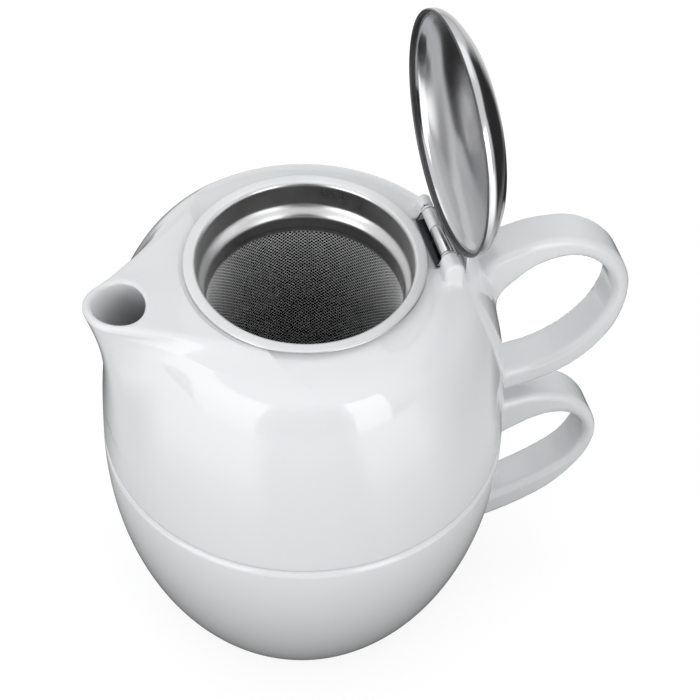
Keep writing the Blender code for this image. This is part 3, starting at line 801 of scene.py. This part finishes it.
def make_steel(name, colour, roughness, grain, metallic=1.0):
    """Stainless steel with fine grain and a little uneven polish."""
    material, nodes, links, shader = node_material(name)
    place = nodes.new("ShaderNodeTexCoord").outputs["Object"]
    duller = tuple(c * 0.93 for c in colour)
    tint = noise(nodes, links, 90.0, 4.0, place)
    links.new(blended(nodes, links, tint, duller, colour), shader.inputs["Base Color"])
    shader.inputs["Metallic"].default_value = metallic
    smear = noise(nodes, links, 60.0, 3.0, place)
    polish = scaled(nodes, links, smear, (0.3, 0.7), (roughness * 0.8, roughness * 1.25))
    links.new(polish, shader.inputs["Roughness"])
    bumped(nodes, links, shader, noise(nodes, links, 900.0, 2.0, place), grain, 0.0001)
    return material


# -------------------------------- steel

# The perforated wall: diamond cells around it, the height of half a cell, and the sizes of a hole's
# lip and of its neck's end, as shares of the cell and of the lip.
MESH_COLUMNS = 140
MESH_ROW = 0.645
MESH_LIP = 0.8
MESH_NECK = 0.76

LID_R = 35.6
LID_RIM_Z = 147.0
LID_SHEET = 0.8
LID_SKIRT = 3.0
LID_CORNER = 3.4
LID_RISE = 7.85
LID_POWER = 4.35

KNUCKLE_R = 2.0
KNUCKLE_BORE = 1.15
KNUCKLE_SPAN = (-8.9, 1.5)
SLEEVE_SPAN = (1.8, 9.0)
PIN_R = 1.0
PIN_END = 13.4
CHEEK_SPAN = (9.25, 9.85)
BRACKET_X = (36.3, 42.2)
BRACKET_Z = (143.4, 144.0)


def mesh_piece(name, verts, faces, material, sharp=40.0):
    """A mesh object from points in millimetres from the axis."""
    mesh = bpy.data.meshes.new(name)
    world = np.asarray(verts, float) * MM + np.array([AXIS_X, 0.0, 0.0])
    mesh.from_pydata(world.tolist(), [], faces)
    shape = bmesh.new()
    shape.from_mesh(mesh)
    bmesh.ops.remove_doubles(shape, verts=shape.verts, dist=0.000002)
    bmesh.ops.recalc_face_normals(shape, faces=shape.faces)
    shape.to_mesh(mesh)
    shape.free()
    mesh.shade_smooth()
    mesh.set_sharp_from_angle(angle=math.radians(sharp))
    mesh.materials.append(material)
    return add_object(name, mesh)


def paint(piece, material, chosen):
    """Gives the faces whose middles are chosen, by millimetres from the axis, another material."""
    polygons = piece.data.polygons
    piece.data.materials.append(material)
    index = len(piece.data.materials) - 1
    middles = (np.array([tuple(face.center) for face in polygons]) - (AXIS_X, 0.0, 0.0)) / MM
    for i in np.nonzero(chosen(*middles.T))[0]:
        polygons[int(i)].material_index = index


def arc(centre, radius, start, end, count):
    """Points on an arc, angles in degrees from the first coordinate's way to the second's."""
    angles = np.radians(np.linspace(start, end, count + 1))
    return [(centre[0] + radius * math.cos(a), centre[1] + radius * math.sin(a)) for a in angles]


def ring_points(loop, steps, axis="Z"):
    """A profile of (radius, height) points repeated around the Z axis, or around the hinge pin."""
    loop = np.array(loop, float)
    angle = math.tau * np.arange(steps) / steps
    across = np.outer(np.cos(angle), loop[:, 0])
    beside = np.outer(np.sin(angle), loop[:, 0])
    along = np.tile(loop[:, 1], (steps, 1))
    columns = [across, beside, along] if axis == "Z" else [PIN_X + across, along, PIN_Z + beside]
    return np.stack(columns, 2).reshape(-1, 3)


def ring_faces(count, steps, closed=True):
    faces = []
    for turn in range(steps):
        here = turn * count
        there = (turn + 1) % steps * count
        for i in range(count if closed else count - 1):
            k = (i + 1) % count
            faces.append((here + i, here + k, there + k, there + i))
    return faces


def turned(name, profile, steps, material):
    """A turned sheet: profile points are (radius, height) in millimetres from the axis."""
    return mesh_piece(name, ring_points(profile, steps), ring_faces(len(profile), steps), material)


def about_hinge(x, z, degrees):
    """Where points of the lid go when it opens by some degrees, in millimetres from the axis."""
    turn = math.radians(degrees)
    across = x - PIN_X
    above = z - PIN_Z
    return (PIN_X + across * math.cos(turn) + above * math.sin(turn),
            PIN_Z - across * math.sin(turn) + above * math.cos(turn))


def make_collar(material, flange_material):
    """Drawn collar: rolled inner edge, upright wall, sloping step and plain lower ring."""
    sheet = 0.8
    top = FLANGE_Z
    inner = 31.35
    ring = 28.6
    ring_low = 131.2
    step_low = 134.2
    step_rise = 4.9
    points = arc((inner + 1.3, top - 1.3), 1.3, 180.0, 90.0, 8)
    points += [(FLANGE_R - 0.9, top - 0.02)] + arc((FLANGE_R - 0.4, top - 0.4), 0.4, 80.0, -90.0, 8)
    points += [(inner + sheet + 0.6, top - sheet)]
    points += arc((inner + sheet + 0.5, top - sheet - 0.5), 0.5, 90.0, 180.0, 4)
    waist = [(ring + (inner - ring) * (t - math.sin(math.tau * t) / math.tau), step_low + step_rise * t)
             for t in np.linspace(0.0, 1.0, 25)]
    points += [(r + sheet, z - 0.25) for r, z in reversed(waist)]
    points += [(ring + sheet, ring_low), (ring, ring_low)] + waist
    collar = turned("infuser_collar_sheet", points, 192, material)
    paint(collar, flange_material, lambda x, y, z: z > top - 0.25)
    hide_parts("infuser_collar")
    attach(collar, "infuser")


def lattice(columns, rows, hole):
    """A sheet of diamond cells with diamond holes, as (column, row) places and faces.

    Row lines run from 0 to rows; each line's points sit half a cell beside those of the next."""
    place = [(i + 0.5 + (j % 2) / 2.0, float(j)) for j in range(rows + 1) for i in range(columns)]
    faces = []

    def line(j, i):
        return j * columns + i % columns

    for j in range(1, rows):
        odd = j % 2
        for i in range(columns):
            beside = i - 1 + odd
            outer = (line(j, i - 1), line(j - 1, beside), line(j, i), line(j + 1, beside))
            start = len(place)
            for du, dv in ((-0.5, 0.0), (0.0, -1.0), (0.5, 0.0), (0.0, 1.0)):
                place.append((i + odd / 2.0 + du * hole, j + dv * hole))
            for k in range(4):
                n = (k + 1) % 4
                faces.append((outer[k], outer[n], start + n, start + k))
    for i in range(columns):
        faces.append((line(0, i), line(0, i + 1), line(1, i)))
        faces.append((line(rows, i + 1), line(rows, i), line(rows - 1, i + rows % 2)))
    return place, faces


def make_mesh_wall(material, neck_shade_material, edge_material):
    """The drum of perforated sheet; each hole's lip is pressed outwards into a narrowing neck."""
    margin = 1.5
    inner = 28.75
    outer = 29.2
    pressed = 0.1
    rows = int((MESH_TOP_Z - MESH_LOW_Z - 2.0 * margin) / MESH_ROW)
    base = MESH_TOP_Z - margin - rows * MESH_ROW
    place, solid = lattice(MESH_COLUMNS, rows, MESH_LIP)
    corners = (rows + 1) * MESH_COLUMNS
    holes = len(place) - corners
    lip = np.array(place[corners:]).reshape(-1, 4, 2)
    middle = lip.mean(1, keepdims=True)
    neck = (middle + (lip - middle) * MESH_NECK).reshape(-1, 2)
    verts = []
    rings = ((place[:corners], inner), (place[corners:], inner + pressed), (neck, outer))
    for points, radius in rings:
        for u, v in points:
            angle = math.tau * u / MESH_COLUMNS
            verts.append((radius * math.cos(angle), radius * math.sin(angle), base + v * MESH_ROW))
    for start in range(corners, corners + holes, 4):
        for k in range(4):
            n = (k + 1) % 4
            solid.append((start + k, start + n, start + n + holes, start + k + holes))
    for level, edge_z in ((0, MESH_LOW_Z), (rows, MESH_TOP_Z)):
        first = level * MESH_COLUMNS
        start = len(verts)
        verts += [(x, y, edge_z) for x, y, _ in verts[first:first + MESH_COLUMNS]]
        for i in range(MESH_COLUMNS):
            n = (i + 1) % MESH_COLUMNS
            solid.append((first + i, first + n, start + n, start + i))
    wall = mesh_piece("infuser_perforated_wall", verts, solid, material, 25.0)
    # Painted shade: the holes' necks get the near-black steel, so the holes look dark.
    paint(wall, neck_shade_material, lambda x, y, z: np.hypot(x, y) > inner + pressed)
    paint(wall, edge_material, lambda x, y, z: z > MESH_TOP_Z - margin)
    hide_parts("infuser_mesh_wall")
    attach(wall, "infuser")


def make_basket_floor(material):
    """The basket's bottom: a disc of six-sided cells with six-sided holes and a plain border."""
    pitch = 1.7
    hole = 0.62
    border = 28.4
    sheet = 0.45
    shape = bmesh.new()
    corners = np.radians(np.arange(6) * 60.0 + 30.0)
    cell = pitch / math.sqrt(3.0)
    rows = int(border / pitch) + 4
    for i in range(-rows, rows + 1):
        for j in range(-rows, rows + 1):
            cx = pitch * (i + j / 2.0)
            cy = pitch * j * math.sqrt(3.0) / 2.0
            if math.hypot(cx, cy) > border - 2.2:
                continue
            outer, inner = [[shape.verts.new((cx + size * math.cos(a), cy + size * math.sin(a), 0.0))
                             for a in corners] for size in (cell, cell * hole)]
            for k in range(6):
                n = (k + 1) % 6
                shape.faces.new((outer[k], outer[n], inner[n], inner[k]))
    bmesh.ops.remove_doubles(shape, verts=shape.verts, dist=0.01)
    edges = [e for e in shape.edges if e.is_boundary and e.calc_length() > cell * (hole + 1.0) / 2.0]
    circle = [shape.verts.new((border * math.cos(a), border * math.sin(a), 0.0))
              for a in np.radians(np.arange(0.0, 360.0, 3.0))]
    edges += [shape.edges.new((circle[i], circle[(i + 1) % len(circle)])) for i in range(len(circle))]
    bmesh.ops.triangle_fill(shape, edges=edges, use_beauty=True, use_dissolve=False, normal=(0.0, 0.0, 1.0))
    bmesh.ops.recalc_face_normals(shape, faces=shape.faces)
    shape.verts.index_update()
    verts = [(v.co.x, v.co.y, MESH_LOW_Z + 0.25) for v in shape.verts]
    faces = [tuple(v.index for v in f.verts) for f in shape.faces]
    shape.free()
    floor = mesh_piece("infuser_perforated_floor", verts, faces, material, 30.0)
    thick = floor.modifiers.new("sheet", "SOLIDIFY")
    thick.thickness = sheet * MM
    thick.offset = 0.0
    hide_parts("infuser_mesh_floor")
    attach(floor, "infuser")


def make_crimped_band(material):
    """The ring folded around the bottom of the basket, with a shallow groove pressed into it."""
    low = BASKET_BASE_Z
    inside = 29.55
    outside = 30.15
    lip_r = 26.2
    bead = arc((outside - 0.3, low + 4.1), 0.3, 0.0, 180.0, 6)
    wall = [(inside, low + 1.0)] + arc((inside - 0.5, low + 1.0), 0.5, 0.0, -90.0, 4)
    wall += [(lip_r, low + 0.5)] + arc((lip_r, low + 0.25), 0.25, 90.0, 270.0, 6)
    wall += arc((outside - 0.8, low + 0.8), 0.8, -90.0, 0.0, 6)
    groove = [(outside - 0.12 * math.sin(math.pi * t), low + 1.2 + 1.6 * t) for t in np.linspace(0.0, 1.0, 7)]
    band = turned("infuser_crimped_band", bead + wall + groove, 144, material)
    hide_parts("infuser_bottom_band")
    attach(band, "infuser")


def make_lid(material, hem_dark_reflection_material):
    """Shallow pressed dome with a round corner and a rolled hem, standing open."""
    shoulder = LID_RIM_Z + LID_SKIRT
    bend = (LID_R - LID_CORNER, shoulder - 1.7)
    shares = [math.sin(math.radians(a)) for a in np.linspace(0.0, 72.0, 30)]
    outside = [(LID_R * q, shoulder + LID_RISE * (1.0 - q ** LID_POWER)) for q in shares]
    outside += arc(bend, LID_CORNER, 50.0, 0.0, 12)
    hem = arc((LID_R - 0.45, LID_RIM_Z + 0.45), 0.45, 0.0, -180.0, 8)
    inside = arc(bend, LID_CORNER - LID_SHEET, 0.0, 50.0, 10)
    for q in reversed(shares):
        slope = LID_RISE * LID_POWER / LID_R * q ** (LID_POWER - 1.0)
        length = math.hypot(1.0, slope)
        inside.append((max(LID_R * q - LID_SHEET * slope / length, 0.0),
                       shoulder + LID_RISE * (1.0 - q ** LID_POWER) - LID_SHEET / length))
    loop = outside + hem + inside
    steps = 192
    verts = ring_points(loop, steps)
    verts[:, 0], verts[:, 2] = about_hinge(verts[:, 0], verts[:, 2], LID_OPEN)
    lid = mesh_piece("lid_dome_sheet", verts, ring_faces(len(loop), steps), material, 38.0)

    def rolled(x, y, z):
        x, z = about_hinge(x, z, -LID_OPEN)
        inner = (np.hypot(x, y) < LID_R - 0.5) & (z < LID_RIM_Z + 1.75)
        return inner | (z < LID_RIM_Z + 0.5)

    # Painted dark reflection: the rolled hem and the inside of the skirt get a near-black steel.
    paint(lid, hem_dark_reflection_material, rolled)
    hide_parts("lid_dome")
    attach(lid, "lid")


def slab(name, outline, low, high, axis, material, edge=0.12):
    """A flat outline given thickness along Y or Z, with bevelled edges, in millimetres."""
    shape = bmesh.new()
    loops = []
    for level in (low, high):
        places = [(u, level, v) if axis == "Y" else (u, v, level) for u, v in outline]
        loops.append([shape.verts.new(place) for place in places])
    lower, upper = loops
    shape.faces.new(lower)
    shape.faces.new(upper)
    for i in range(len(outline)):
        k = (i + 1) % len(outline)
        shape.faces.new((lower[i], lower[k], upper[k], upper[i]))
    bmesh.ops.recalc_face_normals(shape, faces=shape.faces)
    sharp = [e for e in shape.edges if len(e.link_faces) == 2 and e.calc_face_angle() > math.radians(30.0)]
    bmesh.ops.bevel(shape, geom=sharp, offset=edge, segments=2, affect="EDGES", profile=0.5)
    shape.verts.index_update()
    verts = [tuple(v.co) for v in shape.verts]
    faces = [tuple(v.index for v in f.verts) for f in shape.faces]
    shape.free()
    return mesh_piece(name, verts, faces, material, 30.0)


def united(first, others):
    """One solid from several that overlap."""
    for other in others:
        step = first.modifiers.new(other.name, "BOOLEAN")
        step.operation = "UNION"
        step.object = other
    bpy.context.view_layer.update()
    mesh = bpy.data.meshes.new_from_object(first.evaluated_get(bpy.context.evaluated_depsgraph_get()))
    first.modifiers.clear()
    first.data = mesh
    for other in others:
        bpy.data.objects.remove(other, do_unlink=True)
    mesh.shade_smooth()
    mesh.set_sharp_from_angle(angle=math.radians(30.0))
    return first


def make_leaf(material):
    """The lid's tab: a plate cut to the lid's rim, with a strip rolled round the pin."""
    inner_r = 34.55
    half = 16.0
    edge_x = 41.3
    plate_z = 149.9
    top_z = plate_z + 0.8
    reach = math.degrees(math.asin(half / inner_r))
    outline = [(edge_x, -half), (edge_x, half)] + arc((0.0, 0.0), inner_r, reach, -reach, 32)
    plate = slab("lid_hinge_leaf_plate", outline, plate_z, top_z, "Z", material)
    curl = [(PIN_X + KNUCKLE_R, top_z - 0.05)] + arc((PIN_X, PIN_Z), KNUCKLE_R, 0.0, -290.0, 40)
    curl += arc((PIN_X, PIN_Z), KNUCKLE_BORE, -290.0, 0.0, 40) + [(PIN_X + KNUCKLE_BORE, top_z - 0.05)]
    leaf = united(plate, [slab("leaf_roll", curl, *KNUCKLE_SPAN, "Y", material, 0.08)])
    for vertex in leaf.data.vertices:
        x, z = about_hinge((vertex.co.x - AXIS_X) / MM, vertex.co.z / MM, LID_OPEN)
        vertex.co = (x * MM + AXIS_X, vertex.co.y, z * MM)
    leaf.data.update()
    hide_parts("lid_hinge_leaf")
    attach(leaf, "lid")


def barrel(name, radius, low_y, high_y, material, bore=0.0):
    """A round pin or sleeve on the hinge axis, with rounded ends."""
    edge = 0.25
    steps = 64
    start = [(bore, low_y)] if bore == 0.0 else [(bore, low_y + edge), (bore + edge, low_y)]
    end = [(bore, high_y)] if bore == 0.0 else [(bore + edge, high_y), (bore, high_y - edge)]
    low_round = arc((radius - edge, low_y + edge), edge, -90.0, 0.0, 4)
    high_round = arc((radius - edge, high_y - edge), edge, 0.0, 90.0, 4)
    loop = start + low_round + high_round + end
    faces = ring_faces(len(loop), steps, bore > 0.0)
    return mesh_piece(name, ring_points(loop, steps, "Y"), faces, material)


def make_hinge(polished, satin, dark):
    """The pin, the spacer sleeve on it, and the bracket's plate with its two cheeks."""
    pin = barrel("hinge_pin_rod", PIN_R, -PIN_END, PIN_END, polished)
    sleeve = barrel("hinge_spacer_tube", KNUCKLE_R, *SLEEVE_SPAN, satin, KNUCKLE_BORE)
    left, right = BRACKET_X
    low, high = BRACKET_Z
    near, far = CHEEK_SPAN
    cheek = arc((PIN_X, PIN_Z), 2.1, 180.0, 0.0, 24) + [(right, low), (left, low)]
    bracket = slab("hinge_bracket_plate", cheek, near, far, "Y", dark)
    near_cheek = slab("near_cheek", cheek, -far, -near, "Y", dark)
    corners = [(left, -far), (right, -far), (right, far), (left, far)]
    base = slab("bracket_base", corners, low, high, "Z", dark)
    united(bracket, [near_cheek, base])
    # Painted shade: below the pin the bracket is near-black, as in a shaded pocket; above it the cheeks keep
    # the light barrel steel.
    paint(bracket, satin, lambda x, y, z: z > PIN_Z - 0.5)
    for piece, node in ((pin, "hinge_pin"), (sleeve, "hinge_spacer_sleeve"), (bracket, "hinge_bracket")):
        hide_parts(node)
        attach(piece, "teapot")
    make_leaf(polished)


# -------------------------------- the set

make_camera()
make_world()
make_table()
make_lights()
make_porcelain_pieces(make_porcelain())
lid_steel = make_steel("lid_steel", (0.62, 0.62, 0.63), 0.16, 0.02)
# Near-black steel for the lid's hem: a painted dark reflection.
hem_dark_reflection_steel = make_steel("hem_dark_reflection_steel", (0.13, 0.13, 0.135), 0.3, 0.05)
polished_steel = make_steel("polished_steel", (0.74, 0.745, 0.75), 0.25, 0.02)
barrel_steel = make_steel("barrel_steel", (0.84, 0.845, 0.85), 0.5, 0.02, 0.6)
satin_steel = make_steel("satin_steel", (0.68, 0.68, 0.68), 0.3, 0.0)
flange_steel = make_steel("flange_steel", (0.74, 0.745, 0.75), 0.42, 0.03)
# Near-black steel: painted shade, for the bracket in the hinge pocket and for the necks of the basket's
# holes.
near_black_shade_steel = make_steel("painted_shade_steel", (0.05, 0.055, 0.06), 0.2, 0.05)
mesh_steel = make_steel("mesh_steel", (0.84, 0.84, 0.84), 0.48, 0.03, 0.55)
make_collar(satin_steel, flange_steel)
make_mesh_wall(mesh_steel, near_black_shade_steel, satin_steel)
make_lid(lid_steel, hem_dark_reflection_steel)
make_hinge(polished_steel, barrel_steel, near_black_shade_steel)
make_basket_floor(mesh_steel)
make_crimped_band(satin_steel)
